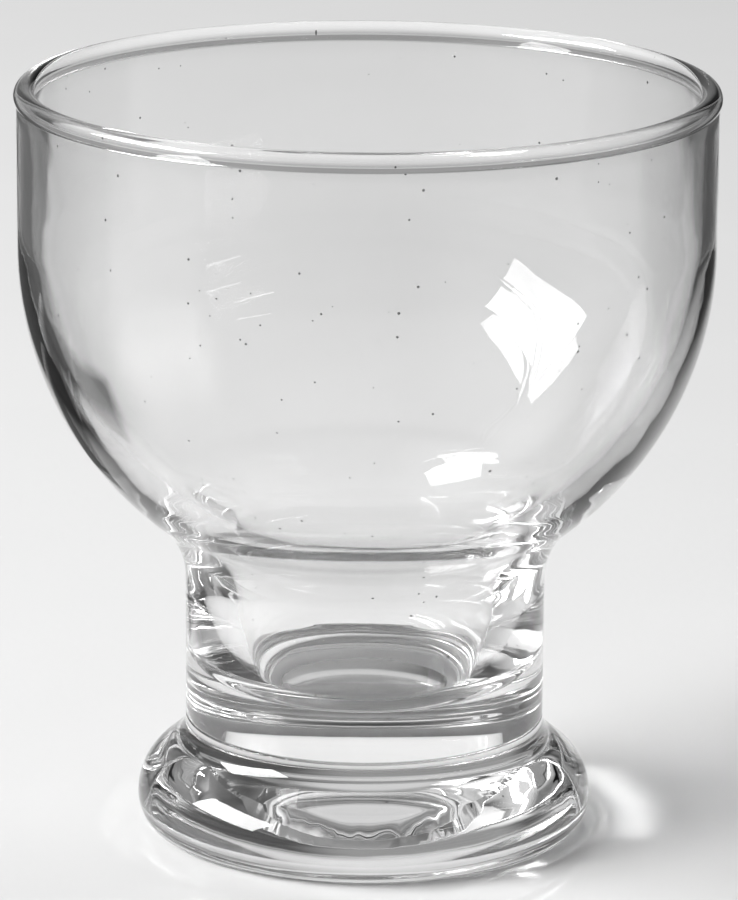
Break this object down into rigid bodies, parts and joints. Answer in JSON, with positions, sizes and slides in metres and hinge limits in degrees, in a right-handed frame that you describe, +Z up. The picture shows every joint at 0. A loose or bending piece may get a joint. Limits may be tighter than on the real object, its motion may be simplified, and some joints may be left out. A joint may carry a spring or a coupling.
{
  "type": "footed tumbler",
  "caption": "Clear glass tumbler for drinks: a round bowl with a melted rim on a short hollow collar, fused to a thick rounded foot.",
  "frame": {"origin": "centre of the resting ring, on the surface that the glass stands on", "axes": "+Z up along the glass's axis; X and Y are any two level directions, because the glass is round"},
  "size_m": [0.084, 0.084, 0.0913],
  "materials": {
    "bowl_glass": "clear, colourless, fire-polished",
    "foot_glass": "clear, colourless, smooth, with a slightly wavy underside"
  },
  "bodies": {
    "root": {"bowl": "bowl_glass", "foot": "foot_glass"}
  },
  "joints": []
}
